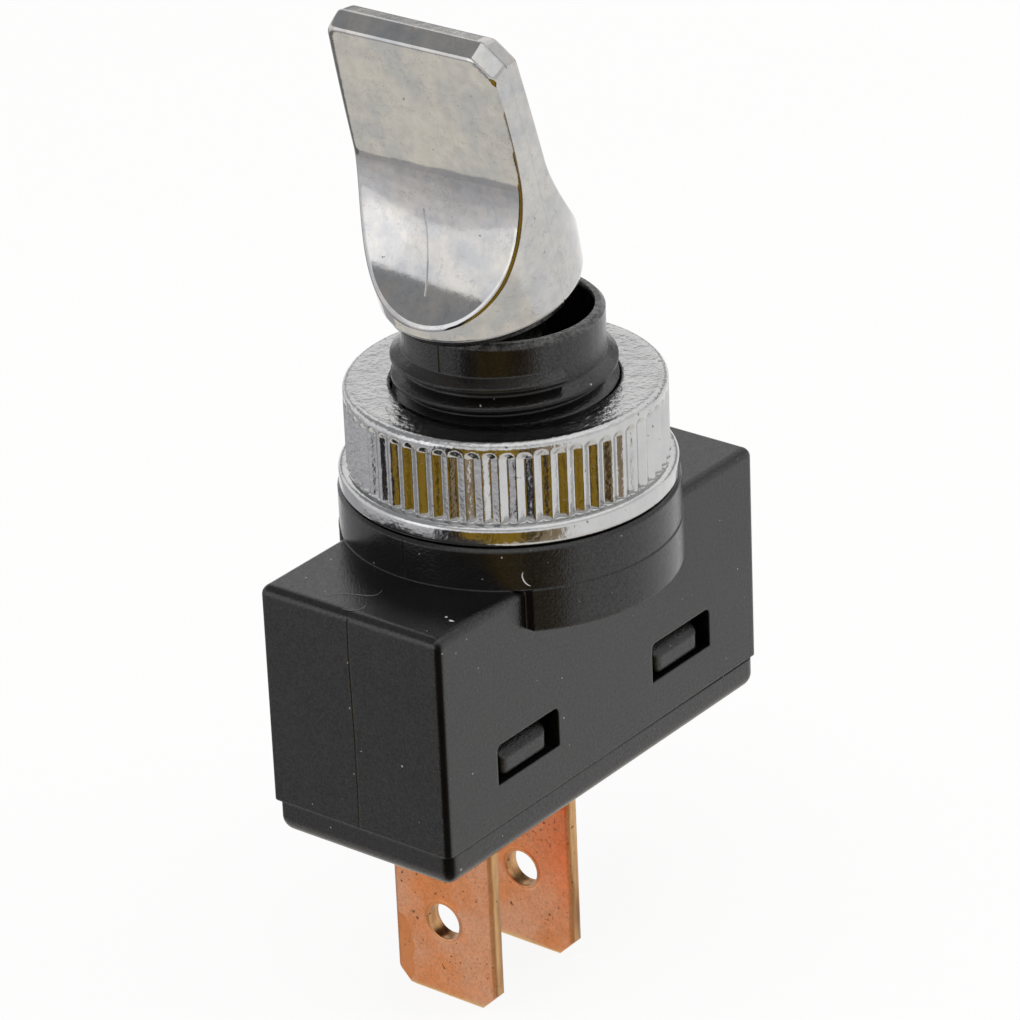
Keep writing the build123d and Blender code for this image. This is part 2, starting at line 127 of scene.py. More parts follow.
class Graph:
    """A short way to write a material's nodes. A socket takes a node, a socket or a value."""

    def __init__(self, name):
        self.material = bpy.data.materials.new(name)
        self.material.use_nodes = True
        self.nodes = self.material.node_tree.nodes
        self.links = self.material.node_tree.links
        self.shader = self.nodes["Principled BSDF"]
        self.out = self.nodes["Material Output"]

    def add(self, kind, links=None, **settings):
        """A new node, with its properties and what its inputs take."""
        node = self.nodes.new(kind)
        for key, value in settings.items():
            setattr(node, key, value)
        for socket, source in (links or {}).items():
            self.put(node.inputs[socket], source)
        return node

    def put(self, socket, source):
        """Links or sets one input."""
        if isinstance(source, bpy.types.NodeSocket):
            self.links.new(source, socket)
        elif isinstance(source, bpy.types.Node):
            self.links.new(source.outputs[0], socket)
        else:
            socket.default_value = source

    def set(self, **inputs):
        """Inputs of the material's shader, with _ for a space."""
        for key, source in inputs.items():
            self.put(self.shader.inputs[key.replace("_", " ")], source)

    def place(self):
        """Object coordinates, in metres."""
        return self.add("ShaderNodeTexCoord").outputs["Object"]

    def noise(self, scale, detail, rough, where=None):
        """Noise between 0 and 1, mostly near 0.5."""
        node = self.add(
            "ShaderNodeTexNoise",
            {"Vector": where or self.place(), "Scale": scale, "Detail": detail, "Roughness": rough},
        )
        return node.outputs["Fac"]

    def ramp(self, source, stops):
        """A ramp through stops, which are pairs of a position and a grey or a colour."""
        node = self.add("ShaderNodeValToRGB", {"Fac": source})
        elements = node.color_ramp.elements
        while len(elements) < len(stops):
            elements.new(0.5)
        for element, (at, value) in zip(elements, stops):
            element.position = at
            level = value if isinstance(value, tuple) else (value, value, value)
            element.color = (*level, 1)
        return node.outputs["Color"]

    def math(self, operation, a, b=0.0, clamp=False):
        node = self.add("ShaderNodeMath", {0: a, 1: b}, operation=operation, use_clamp=clamp)
        return node.outputs[0]

    def times(self, a, b):
        return self.math("MULTIPLY", a, b)

    def squared(self, value):
        return self.math("POWER", self.math("ABSOLUTE", value), 2.0)

    def axes(self, vector):
        """The three parts of a vector."""
        parts = self.add("ShaderNodeSeparateXYZ", {0: vector})
        return [parts.outputs[axis] for axis in "XYZ"]

    def facing(self):
        """The surface's direction in object coordinates."""
        return self.add("ShaderNodeTexCoord").outputs["Normal"]

    def mix(self, factor, a, b, blend="MIX"):
        node = self.add("ShaderNodeMix", data_type="RGBA", blend_type=blend)
        self.put(node.inputs[0], factor)
        self.put(node.inputs[6], a if not isinstance(a, tuple) else (*a, 1))
        self.put(node.inputs[7], b if not isinstance(b, tuple) else (*b, 1))
        return node.outputs[2]

    def darken(self, colour, by):
        """A colour multiplied by another or by a grey."""
        return self.mix(1.0, colour, by, "MULTIPLY")

    def bump(self, height, distance, strength=1.0, base=None):
        """A bump of some depth over another bump or the rounded edges."""
        links = {"Height": height, "Distance": distance * MM, "Strength": strength}
        if base is not None:
            links["Normal"] = base
        return self.add("ShaderNodeBump", links).outputs[0]

    def stretched(self, along):
        """Object coordinates scaled by one factor an axis, to draw a noise out along one."""
        links = {0: self.place(), 1: along}
        return self.add("ShaderNodeVectorMath", links, operation="MULTIPLY").outputs[0]

    def above(self, value, limit):
        return self.math("GREATER_THAN", value, limit)

    def below(self, value, limit):
        return self.math("LESS_THAN", value, limit)

    def all_of(self, *masks):
        """The product of masks, 1 where all of them are."""
        joined = masks[0]
        for mask in masks[1:]:
            joined = self.times(joined, mask)
        return joined

    def line(self, value, at, half, wander=0.0, scale=150):
        """A soft line, 1 on it and 0 beside it, where a coordinate has a value in mm."""
        drift = self.times(self.math("SUBTRACT", self.noise(scale, 2, 0.5), 0.5), wander * MM)
        offset = self.math("SUBTRACT", self.math("ADD", value, drift), at * MM)
        near = self.math("DIVIDE", self.math("ABSOLUTE", offset), half * MM)
        return self.math("SUBTRACT", 1.0, near, clamp=True)

    def rounded(self, radius):
        """Edges that catch the light as if they were rounded."""
        return self.add("ShaderNodeBevel", {"Radius": radius * MM}, samples=6).outputs[0]


# the mould line in the paddle's hollow: how far it leans sideways for each millimetre up, its place
# at its middle, and its ends, with heights measured from the pivot. It lies on the hollow towards
# -X alone. HOLLOW_LINE_AT is the place where it would cross the frame's height 0.
HOLLOW_LINE_LEAN = 0.26
HOLLOW_LINE_Y = 0.38
HOLLOW_LINE_MIDDLE = 8.82
HOLLOW_LINE_ENDS = (7.5, 10.9)
HOLLOW_LINE_AT = HOLLOW_LINE_Y - (PIVOT_Z + HOLLOW_LINE_MIDDLE) * HOLLOW_LINE_LEAN
HOLLOW_FACE_X = -1.0
# the mould line down the paddle's narrow sides, a little off their middle
EDGE_LINE_X = 0.05


def chrome_polished():
    """Bright plating on the moulded paddle: stains with outlines, pits, and mould lines down its
    narrow sides and in the hollow."""
    g = Graph("chrome_polished")
    stain_tones = [(0.4, (0.49, 0.492, 0.492)), (0.58, (0.585, 0.565, 0.532))]
    stain = g.ramp(g.noise(520, 6, 0.62), stain_tones)
    cloud = g.ramp(g.noise(1700, 5, 0.7), [(0.35, 0.88), (0.62, 1.0)])
    specks = g.ramp(g.noise(2600, 2, 0.4), [(0.2, 0.4), (0.24, 1.0)])
    outlines = g.ramp(g.noise(640, 4, 0.6), [(0.542, 1.0), (0.551, 0.76), (0.556, 1.0)])
    toned = g.darken(g.darken(stain, cloud), outlines)
    upright = g.add("ShaderNodeVectorRotate", {"Vector": g.place()}, rotation_type="Y_AXIS")
    upright.inputs["Center"].default_value = (0, 0, PIVOT_Z * MM)
    upright.inputs["Angle"].default_value = math.radians(LEAN)
    x, y, z = g.axes(upright.outputs[0])
    edge_line = g.line(x, EDGE_LINE_X, 0.07, 0.15)
    low, high = ((PIVOT_Z + end) * MM for end in HOLLOW_LINE_ENDS)
    in_hollow = g.all_of(g.below(x, HOLLOW_FACE_X * MM), g.above(z, low), g.below(z, high))
    leaning = g.math("SUBTRACT", y, g.times(z, HOLLOW_LINE_LEAN))
    hollow_line = g.all_of(g.line(leaning, HOLLOW_LINE_AT, 0.06, 0.15, 220), in_hollow)
    mould_lines = g.math("MAXIMUM", edge_line, hollow_line)
    toned = g.mix(g.times(mould_lines, 0.2), toned, (0.2, 0.2, 0.2))
    g.set(Base_Color=g.darken(toned, specks), Metallic=1.0)
    g.set(Roughness=g.ramp(g.noise(900, 5, 0.7), [(0.3, 0.05), (0.75, 0.13)]))
    fine = g.bump(g.noise(2400, 4, 0.6), 0.007, 0.4)
    wavy = g.bump(g.noise(330, 3, 0.5), 0.03, 0.3, fine)
    g.set(Normal=g.bump(mould_lines, 0.022, 0.8, wavy))
    return g.material


def chrome_cast():
    """Plating over a casting: pebbled on top, smoother in the knurl and round the flange."""
    g = Graph("chrome_cast")
    tone = g.ramp(g.noise(700, 5, 0.65), [(0.3, (0.50, 0.50, 0.50)), (0.7, (0.57, 0.57, 0.565))])
    specks = g.ramp(g.noise(3000, 2, 0.4), [(0.22, 0.4), (0.26, 1.0)])
    g.set(Base_Color=g.darken(tone, specks), Metallic=1.0)
    g.set(Roughness=g.ramp(g.noise(1500, 4, 0.7), [(0.3, 0.08), (0.8, 0.2)]))
    z = g.axes(g.place())[2]
    skin = g.ramp(g.math("DIVIDE", z, NUT_TOP * MM), [(0.93, 0.45), (0.96, 1.0)])
    coarse = g.bump(g.noise(1500, 2, 0.5), 0.06, g.times(skin, 0.7))
    g.set(Normal=g.bump(g.noise(4200, 3, 0.55), 0.045, g.times(skin, 0.9), coarse))
    return g.material


# the seam's dark line, which is painted shade, lies in the groove below the cover's edge
SEAM_SHADE_Z = SEAM_Z - 0.13


def black_moulding(name, radius):
    """Black plastic: glossy on top, grained on its sides and on the bushing's rim, with its
    reflection taken out in the seam and down its corners as painted shade, with a few dust specks
    and, on the cover, a parting line down the middle of the short ends."""
    g = Graph(name)
    x, y, z = g.axes(g.place())
    face_x, face_y, face_z = g.axes(g.facing())

    black = [(0.3, (0.0022, 0.0021, 0.0022)), (0.75, (0.0058, 0.005, 0.0046))]
    worn = [(0.4, (0.01, 0.01, 0.01)), (0.62, (0.11, 0.108, 0.106))]
    height = g.math("DIVIDE", z, BUSHING_TOP * MM)
    on_bushing = g.ramp(height, [(0.6, 0.0), (0.66, 1.0)])
    on_rim = g.ramp(height, [(0.965, 0.0), (0.985, 1.0)])
    tone = g.mix(on_rim, g.ramp(g.noise(380, 5, 0.6), black), g.ramp(g.noise(2600, 4, 0.7), worn))
    dust = g.ramp(g.noise(3600, 1, 0.3), [(0.80, 0.0), (0.825, 1.0)])
    g.set(Base_Color=g.mix(dust, tone, (0.3, 0.29, 0.28)))

    on_top = g.ramp(face_z, [(0.75, 0.0), (0.9, 1.0)])
    patchy = g.ramp(g.noise(1200, 4, 0.6), [(0.3, 0.14), (0.7, 0.23)])
    g.set(Roughness=g.mix(on_top, patchy, (0.13, 0.13, 0.13)))

    # painted shade: the seam's line loses its reflection, more and more towards +X where the seam
    # gapes, and so do the vertical corners
    gaping = g.ramp(g.math("DIVIDE", x, CORNER_X * MM), [(0.0, 0.0), (0.8, 1.0)])
    seam_shade = g.times(g.line(z, SEAM_SHADE_Z, 0.1), gaping)
    turned = g.ramp(g.math("ABSOLUTE", g.times(face_x, face_y)), [(0.2, 0.0), (0.4, 0.9)])
    corner_shade = g.all_of(turned, g.above(g.math("ABSOLUTE", x), CORNER_X * MM))
    painted_shade = g.math("MAXIMUM", seam_shade, corner_shade)
    level = g.ramp(g.noise(8000, 2, 0.6), [(0.3, 0.36), (0.7, 0.64)])
    # painted shade: the reflection's level drops to nothing in the seam and down the corners
    g.set(IOR=1.54, Specular_IOR_Level=g.mix(painted_shade, level, (0.0, 0.0, 0.0)))

    at_end = g.above(g.math("ABSOLUTE", face_x), 0.9)
    parting = g.all_of(g.line(y, 0, 0.08, 0.25), at_end, g.above(z, SEAM_Z * MM))
    drawn = g.noise(900, 3, 0.6, g.stretched((1, 1, 0.12)))
    grain = g.bump(g.noise(9000, 2, 0.6), 0.02, 0.75, g.rounded(radius))
    parted = g.bump(g.times(parting, -1.0), 0.07, 1.0, grain)
    rough_rim = g.bump(g.noise(2600, 4, 0.7), 0.16, on_rim, parted)
    streaks = g.bump(drawn, 0.05, g.times(on_bushing, 0.6), rough_rim)
    g.set(Normal=g.bump(g.noise(450, 3, 0.5), 0.02, 0.25, streaks))
    return g.material


# the darker ring round a blade's hole, which is painted shade of its die-roll, how far the golden
# strip along the tip wanders, and the stain's middle and half sizes along Y and Z, with how much
# noise frays its outline
DIE_ROLL_R = 1.1
TIP_WANDER = 0.7
STAIN_AT = (3.0, -24.6)
STAIN_HALF = (1.15, 2.2)
STAIN_FRAY = 1.7


def copper_strip(name, patched):
    """Punched copper: orange oxide, grain, dark specks in drifts, brown sheared edges, a darker
    ring round the hole that is painted shade of its die-roll and, on one blade, a stain with a
    sharp outline."""
    g = Graph(name)
    y, z = g.axes(g.place())[1:]
    face_x = g.axes(g.facing())[0]

    oxide = [(0.42, (0.92, 0.45, 0.255)), (0.62, (0.93, 0.345, 0.13))]
    cloud = g.ramp(g.noise(1400, 5, 0.7), [(0.35, 0.92), (0.62, 1.0)])
    grain = g.ramp(g.noise(6500, 3, 0.7), [(0.35, 0.8), (0.58, 1.0)])
    clusters = g.times(g.noise(240, 2, 0.5), 0.4)
    dots = g.ramp(g.math("ADD", g.noise(5500, 2, 0.5), clusters), [(0.47, 0.45), (0.51, 1.0)])
    toned = g.ramp(g.noise(260, 6, 0.65), oxide)
    for layer in (cloud, grain, dots):
        toned = g.darken(toned, layer)

    # edges: rolled over along both sides, and sheared across the strip's thickness
    aside = g.math("ABSOLUTE", g.math("DIVIDE", y, BLADE_HALF * MM))
    rolled = g.ramp(aside, [(0.91, 0.0), (0.97, 1.0)])
    sheared = g.ramp(g.math("ABSOLUTE", face_x), [(0.5, 1.0), (0.8, 0.0)])
    streaks = g.noise(1800, 3, 0.6, g.stretched((1, 1, 0.1)))
    brown = g.ramp(streaks, [(0.35, (0.2, 0.1, 0.04)), (0.62, (0.6, 0.37, 0.17))])
    toned = g.mix(g.times(rolled, 0.45), toned, (0.45, 0.24, 0.10))
    toned = g.mix(g.times(sheared, 0.85), toned, brown)

    # a golden strip along the tip, and a darker ring round the hole, painted shade of its die-roll
    tip = g.math("ADD", z, g.times(g.noise(500, 3, 0.6), TIP_WANDER * MM))
    tip = g.ramp(g.math("DIVIDE", tip, BLADE_TIP_Z * MM), [(0.972, 0.0), (0.982, 1.0)])
    toned = g.mix(g.times(tip, 0.8), toned, (0.86, 0.60, 0.28))
    up = g.math("SUBTRACT", z, BLADE_HOLE_Z * MM)
    span = g.math("SQRT", g.math("ADD", g.squared(y), g.squared(up)))
    die_roll_ring = g.line(span, DIE_ROLL_R, 0.12)
    # painted shade: the ring round the hole is darkened in the colour, over a bumped dent
    toned = g.mix(g.times(die_roll_ring, 0.55), toned, (0.42, 0.20, 0.08))

    if patched:
        along = [
            g.math("DIVIDE", g.math("SUBTRACT", value, at * MM), half * MM)
            for value, at, half in zip((y, z), STAIN_AT, STAIN_HALF)
        ]
        spread = g.math("ADD", g.squared(along[0]), g.squared(along[1]))
        spread = g.math("ADD", spread, g.times(g.noise(420, 4, 0.65), STAIN_FRAY))
        # a quarter of the spread, since a ramp ends at 1
        outline = [(0.41, 0.7), (0.425, 1.0), (0.437, 1.0), (0.445, 0.0)]
        stained = g.ramp(g.math("DIVIDE", spread, 4.0), outline)
        toned = g.mix(stained, toned, (0.76, 0.27, 0.085))

    drift = g.times(g.noise(330, 2, 0.5), 0.22)
    specks = g.ramp(g.math("ADD", g.noise(3300, 2, 0.4), drift), [(0.365, 0.3), (0.40, 1.0)])
    g.set(Base_Color=g.darken(toned, specks), Metallic=1.0)
    g.set(Roughness=g.ramp(g.noise(1300, 5, 0.7), [(0.3, 0.28), (0.7, 0.43)]))
    dented = g.bump(die_roll_ring, 0.03, 0.8, g.rounded(0.1))
    torn = g.bump(streaks, 0.03, sheared, dented)
    g.set(Normal=g.bump(g.noise(1800, 4, 0.6), 0.014, 0.45, torn))
    return g.material


def plastic_bit(name, scale, dim, pale, rough):
    """Plastic left on the moulding, from a dim to a pale tone."""
    g = Graph(name)
    g.set(Base_Color=g.ramp(g.noise(scale, 3, 0.6), [(0.3, dim), (0.7, pale)]), Roughness=rough)
    return g.material


def plain_metal(name, colour, rough):
    """Metal of the parts inside, with a faint unevenness in tone and polish."""
    g = Graph(name)
    dim = tuple(0.86 * c for c in colour)
    g.set(Base_Color=g.ramp(g.noise(900, 4, 0.6), [(0.3, dim), (0.7, colour)]), Metallic=1.0)
    g.set(Roughness=g.ramp(g.noise(2000, 3, 0.6), [(0.3, rough), (0.7, rough + 0.1)]))
    g.set(Normal=g.bump(g.noise(3000, 3, 0.6), 0.006, 0.4))
    return g.material


def nylon():
    """Cream nylon of the plunger."""
    g = Graph("nylon")
    cream = [(0.3, (0.78, 0.76, 0.69)), (0.7, (0.86, 0.85, 0.80))]
    g.set(Base_Color=g.ramp(g.noise(600, 4, 0.6), cream))
    g.set(Roughness=0.45, Subsurface_Weight=0.2, Subsurface_Scale=0.5 * MM)
    g.set(Normal=g.bump(g.noise(2500, 3, 0.5), 0.008, 0.4))
    return g.material


finish = {
    "paddle": chrome_polished(),
    "nut": chrome_cast(),
    "cover": black_moulding("cover_moulding", 0.12),
    "base": black_moulding("base_moulding", 0.22),
    "copper": copper_strip("copper_strip", False),
    "stained": copper_strip("stained_copper", True),
    "chip": plastic_bit("pale_chip", 5000, (0.42, 0.41, 0.40), (0.72, 0.71, 0.69), 0.5),
    "flash": plastic_bit("thin_flash", 4000, (0.05, 0.05, 0.05), (0.13, 0.128, 0.125), 0.35),
    "stem": plain_metal("plated_stem", (0.68, 0.67, 0.65), 0.1),
    "steel": plain_metal("plain_steel", (0.56, 0.56, 0.55), 0.25),
    "silver": plain_metal("silver", (0.86, 0.85, 0.82), 0.22),
    "nylon": nylon(),
}

of_node = {
    "housing": "cover",
    "base": "base",
    "load_terminal": "stained",
    "common_terminal": "copper",
    "fixed_contact": "silver",
    "rocker": "copper",
    "moving_contact": "silver",
    "lever_stem": "stem",
    "pivot_pin": "steel",
    "plunger": "nylon",
    "plunger_spring": "steel",
    "paddle": "paddle",
    "dress_nut": "nut",
}
for node, material in of_node.items():
    mesh = frame["nodes"][node].data
    mesh.materials.clear()
    mesh.materials.append(finish[material])


# PIECES


def on_lever(points):
    """Points that were drawn upright about the pivot, put where the lever leans."""
    return points.reshape(-1, 3) @ np.array(LEVER.to_3x3()).T + np.array([0, 0, PIVOT_Z])


def add_piece(name, points, faces, material, body):
    """Makes a smooth mesh piece from points in millimetres and puts it on its body."""
    mesh = bpy.data.meshes.new(name)
    mesh.from_pydata([tuple(float(c) for c in p) for p in points], [], faces)
    mesh.validate()
    mesh.transform(Matrix.Scale(MM, 4))
    mesh.polygons.foreach_set("use_smooth", [True] * len(mesh.polygons))
    mesh.materials.append(finish[material])
    piece = bpy.data.objects.new(name, mesh)
    bpy.context.scene.collection.objects.link(piece)
    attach(piece, body)
    return piece


def grid_faces(rows, columns, wrap=False):
    """Faces of a grid closed round its columns, and round its rows too with wrap."""
    faces = []
    last = rows if wrap else rows - 1
    for i in range(last):
        for j in range(columns):
            k = (j + 1) % columns
            n = (i + 1) % rows
            faces.append((i * columns + j, i * columns + k, n * columns + k, n * columns + j))
    return faces


def tube_faces(rows, columns):
    """Faces of a grid closed round its columns, with a cap on its first and on its last row."""
    faces = grid_faces(rows, columns)
    faces.append(tuple(reversed(range(columns))))
    faces.append(tuple((rows - 1) * columns + j for j in range(columns)))
    return faces


def both(parts, radius):
    """Distance to what all the solids share, with its edges rounded to the radius."""
    lifted = [part + radius for part in parts]
    outside = sum(np.maximum(part, 0) ** 2 for part in lifted)
    inside = np.minimum(np.maximum.reduce(lifted), 0)
    return np.sqrt(outside) + inside - radius


# the paddle's form, upright about the pivot: the bar, the scoops, the blade and the roof
PADDLE_LOW = 5.4
PADDLE_TOP = 20.1
RIDGE_TOP = 20.418
SKIRT_R = 4.98
BELLY_R = 5.15
BELLY_Z = 11.0
CROWN_R = 4.88
CREASE_Z = 13.07
SCOOP_X = 10.85
SCOOP_Z = 14.75
SCOOP_R = 9.9
TIP_HALF = 0.95
CREASE_HALF = SCOOP_X - math.sqrt(SCOOP_R**2 - (SCOOP_Z - CREASE_Z) ** 2)
BLADE_TAPER = (CREASE_HALF - TIP_HALF) / (PADDLE_TOP - CREASE_Z)
ROOF_SLOPE = (RIDGE_TOP - PADDLE_TOP) / TIP_HALF
SIDE_TOP = 4.8
GATE_CUT = 1.0
CORNER_ROUND = 0.5
SKIRT_ROUND = 0.3
LIP_ROUND = 0.2
BLADE_LIP_ROUND = 0.42
EDGE_ROUND = 0.1
# the blade's near edge towards -Y is softer than the lips: from this far out, over this width,
# above the crease and below the gate's cut
SOFT_OUT = 2.5
SOFT_WIDTH = 2
SOFT_TOP = RIDGE_TOP - 1.6
SOFT_FADE = 1.5
# the near crease runs a little askew and ripples, and blends over a small width
CREASE_SKEW = 0.0075
CREASE_RIPPLE = 0.005
RIPPLE_REACH = 0.5
RIPPLE_WAVES = (2.3, 5.1)
CREASE_BLEND = 0.06
# direction and distance of the torn bevel where the casting gate was cut from the corner
GATE_TEAR = (-0.72, -0.64, 0.26)
GATE_TEAR_AT = 8.62
# the hollow is dished a little between the lips, more and more below the crease
DISH = 0.008
DISH_HALF = 4.5
DISH_FADE = 3.0
# heights on the axis from which the rays of the foot and of the head leave
FOOT_Z = PADDLE_LOW + 0.5
HEAD_Z = RIDGE_TOP - 1.6
RAY_REACH = 9.0
HALVINGS = 40
# where bands of level rows begin and how many rows each has, close together at the skirt's edge,
# the lips' low bend and the crease
WALL_BANDS = ((FOOT_Z, 8), (6.3, 40), (7.6, 56), (12.7, 16), (13.4, 40))
# rows that fan out below the foot, from the head up to the roof's edge, and over the roof. The
# first and the last stay this share of a right angle off level, so that the caps aren't slivers.
FOOT_ROWS = 16
HEAD_ROWS = 34
ROOF_ROWS = 30
FIRST_SLOPE = -0.94
LAST_SLOPE = 0.985
# columns of a quarter before and after the lip's edge, which is never nearer than this angle
LIP_COLUMNS = 36
SIDE_COLUMNS = 26
LEAST_EDGE = 0.3


def bar_radius(z):
    """Radius of the crowned bar: an arc through its foot, belly and crown."""
    low = (z - BELLY_Z) / (PADDLE_LOW - BELLY_Z)
    high = (z - BELLY_Z) / (RIDGE_TOP - BELLY_Z)
    drop = np.where(z < BELLY_Z, (BELLY_R - SKIRT_R) * low**2, (BELLY_R - CROWN_R) * high**2)
    return BELLY_R - drop


def blade_half(z):
    """Half thickness of the paddle's middle at height z."""
    blade = CREASE_HALF - BLADE_TAPER * (z - CREASE_Z)
    reach = SCOOP_R**2 - (SCOOP_Z - z) ** 2
    scoop = SCOOP_X - np.sqrt(np.maximum(reach, 0))
    return np.where(z > CREASE_Z, blade, scoop)


def paddle_form(x, y, z):
    """Distance to the paddle's skin, below zero inside."""
    bar = np.hypot(x, y) - bar_radius(z)
    depth = np.abs(x)
    scoop = SCOOP_R - np.hypot(depth - SCOOP_X, z - SCOOP_Z)
    fade = np.clip((CREASE_Z - z) / DISH_FADE, 0, 1) ** 2
    scoop = scoop + DISH * (DISH_HALF**2 - y**2) * fade
    blade = depth - CREASE_HALF + BLADE_TAPER * (z - CREASE_Z)
    blade = blade - np.where(x < 0, CREASE_SKEW * y, 0)
    wave = np.sin(RIPPLE_WAVES[0] * y + np.sin(RIPPLE_WAVES[1] * y))
    ripple = np.exp(-(((z - CREASE_Z) / RIPPLE_REACH) ** 2)) * wave
    scoop = scoop + np.where(x < 0, CREASE_RIPPLE * ripple, 0)
    lap = np.maximum(CREASE_BLEND - np.abs(blade - scoop), 0) ** 2 / (4 * CREASE_BLEND)
    sides = np.where(z < SCOOP_Z, np.minimum(blade, scoop) - lap, blade)
    under_ridge = z - RIDGE_TOP + depth * ROOF_SLOPE
    roof = under_ridge / math.hypot(1, ROOF_SLOPE)
    gate = (under_ridge - y - SIDE_TOP + GATE_CUT) * math.sqrt(0.5)
    corner = np.where(y > 0, CORNER_ROUND, EDGE_ROUND)
    outline = both([bar, roof], corner)
    softer = np.clip((z - CREASE_Z) / SOFT_WIDTH, 0, 1) * (x < 0)
    softer = softer * np.clip((-y - SOFT_OUT) / SOFT_WIDTH, 0, 1)
    softer = softer * np.clip((SOFT_TOP - z) / SOFT_FADE, 0, 1)
    body = both([outline, sides], LIP_ROUND + (BLADE_LIP_ROUND - LIP_ROUND) * softer)
    cut = both([body, gate], EDGE_ROUND)
    torn = x * GATE_TEAR[0] + y * GATE_TEAR[1] + z * GATE_TEAR[2] - GATE_TEAR_AT
    return both([np.maximum(cut, torn), PADDLE_LOW - z], SKIRT_ROUND)


def skin(form, heights, slopes, angles):
    """Points where rays from the axis leave the form: from a height on the axis, at a slope and
    an angle round it in radians, one of each for every row and column."""
    out = np.cos(slopes)
    up = np.sin(slopes)
    near = np.zeros_like(angles)
    far = np.full_like(angles, RAY_REACH)
    for _ in range(HALVINGS):
        middle = (near + far) / 2
        x = middle * out * np.cos(angles)
        y = middle * out * np.sin(angles)
        inside = form(x, y, heights + middle * up) < 0
        near = np.where(inside, middle, near)
        far = np.where(inside, far, middle)
    x = near * out * np.cos(angles)
    y = near * out * np.sin(angles)
    return np.stack([x, y, heights + near * up], axis=-1)


def eased(count, power):
    """Numbers from 0 up to 1 that crowd towards 1."""
    return 1 - (1 - np.linspace(0, 1, count, endpoint=False)) ** power


def add_paddle():
    """The paddle's skin, from rays out of its axis that meet its form."""
    half = math.pi / 2
    ends = [start for start, _ in WALL_BANDS[1:]] + [HEAD_Z]
    walls = np.concatenate(
        [
            np.linspace(start, end, count, endpoint=False)
            for (start, count), end in zip(WALL_BANDS, ends)
        ]
    )
    head = np.full(HEAD_ROWS + ROOF_ROWS, HEAD_Z)
    heights = np.concatenate([np.full(FOOT_ROWS, FOOT_Z), walls, head])

    # columns gather on the lips' edges, which lie where the blade meets the round bar
    narrow = np.clip(blade_half(heights) / bar_radius(heights), 0, 1)
    edge = np.maximum(np.arccos(narrow), LEAST_EDGE)[:, None]
    front = edge * eased(LIP_COLUMNS, 1.6)[None, :]
    beyond = np.linspace(0, 1, SIDE_COLUMNS, endpoint=False) ** 1.7
    side = edge + (half - edge) * beyond[None, :]
    quarter = np.concatenate([front, side], axis=1)
    back = np.pi - np.concatenate([np.full_like(edge, half), quarter[:, :0:-1]], axis=1)
    top_half = np.concatenate([quarter, back], axis=1)
    angles = np.concatenate([top_half, top_half + np.pi], axis=1)

    # rows of the head gather on the roof's edge
    sideways = np.abs(np.cos(angles[-1]))
    across = np.minimum(TIP_HALF / np.maximum(sideways, 0.01), SIDE_TOP)
    drop = (RIDGE_TOP - PADDLE_TOP) * across * sideways / TIP_HALF
    brink = np.arctan((RIDGE_TOP - drop - HEAD_Z) / across)[None, :]
    rising = brink * eased(HEAD_ROWS, 1.5)[:, None]
    over_roof = np.linspace(0, 1, ROOF_ROWS)[:, None] ** 2
    closing = brink + (LAST_SLOPE * half - brink) * over_roof
    level = np.zeros((len(walls), angles.shape[1]))
    fan = np.linspace(FIRST_SLOPE * half, 0, FOOT_ROWS, endpoint=False)
    under = fan[:, None] + 0 * brink
    slopes = np.concatenate([under, level, rising, closing])

    points = skin(paddle_form, heights[:, None] + 0 * angles, slopes, angles)
    faces = tube_faces(*angles.shape)
    piece = add_piece("paddle_skin", on_lever(points), faces, "paddle", "lever")
    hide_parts("paddle")


add_paddle()


# the nut's form: a profile with a knurl cut into it
NUT_LOW = 0.02
NUT_BORE_R = 5.62
BORE_LOW = 0.3
BORE_MIDDLE = 2.5
BORE_ROUND = 0.2
FLANGE_R = 8.36
FLANGE_TOP = 1.12
FLANGE_LOW_ROUND = 0.28
FLANGE_ROUND = 0.3
LEDGE = FLANGE_TOP + 0.02
TOP_ROUND = 0.34
TOP_ROUND_Z = NUT_TOP - 0.31
KNURL_COUNT = 60
KNURL_PHASE = 2.0
KNURL_R = 7.95
GROOVE_HALF = 0.39
GROOVE_SLOPE = math.tan(math.radians(32))
GROOVE_HIGH = NUT_TOP - 0.38
GROOVE_BLUNT = 0.05
GROOVE_EASE = 0.03
# each groove is a little wider or taller than the next, and the plating is uneven
WIDTH_SPREAD = 0.025
TOP_SPREAD = 0.1
PLATING_SPREAD = 0.004
# rows from one height or radius to another: along the grooves, where the grooves end, and inwards
# over the top
GROOVE_ROWS = (LEDGE + 0.15, GROOVE_HIGH - 0.75, 11)
END_ROWS = (GROOVE_HIGH - 0.62, NUT_TOP - 0.33, 20)
TOP_ROWS = (KNURL_R - 0.42, NUT_BORE_R + 0.35, 8)
# where the columns of half a groove's pitch lie, close together at its middle and its crest
PITCH_STEPS = (0, 0.04, 0.09, 0.16, 0.32, 0.5, 0.68, 0.84, 0.91, 0.96, 1.0)


def arc_points(centre, radius, start, end, count):
    """Points of an arc in the nut's radius and height plane, angles in degrees."""
    turn = np.radians(np.linspace(start, end, count))
    return [(centre[0] + radius * math.cos(t), centre[1] + radius * math.sin(t)) for t in turn]


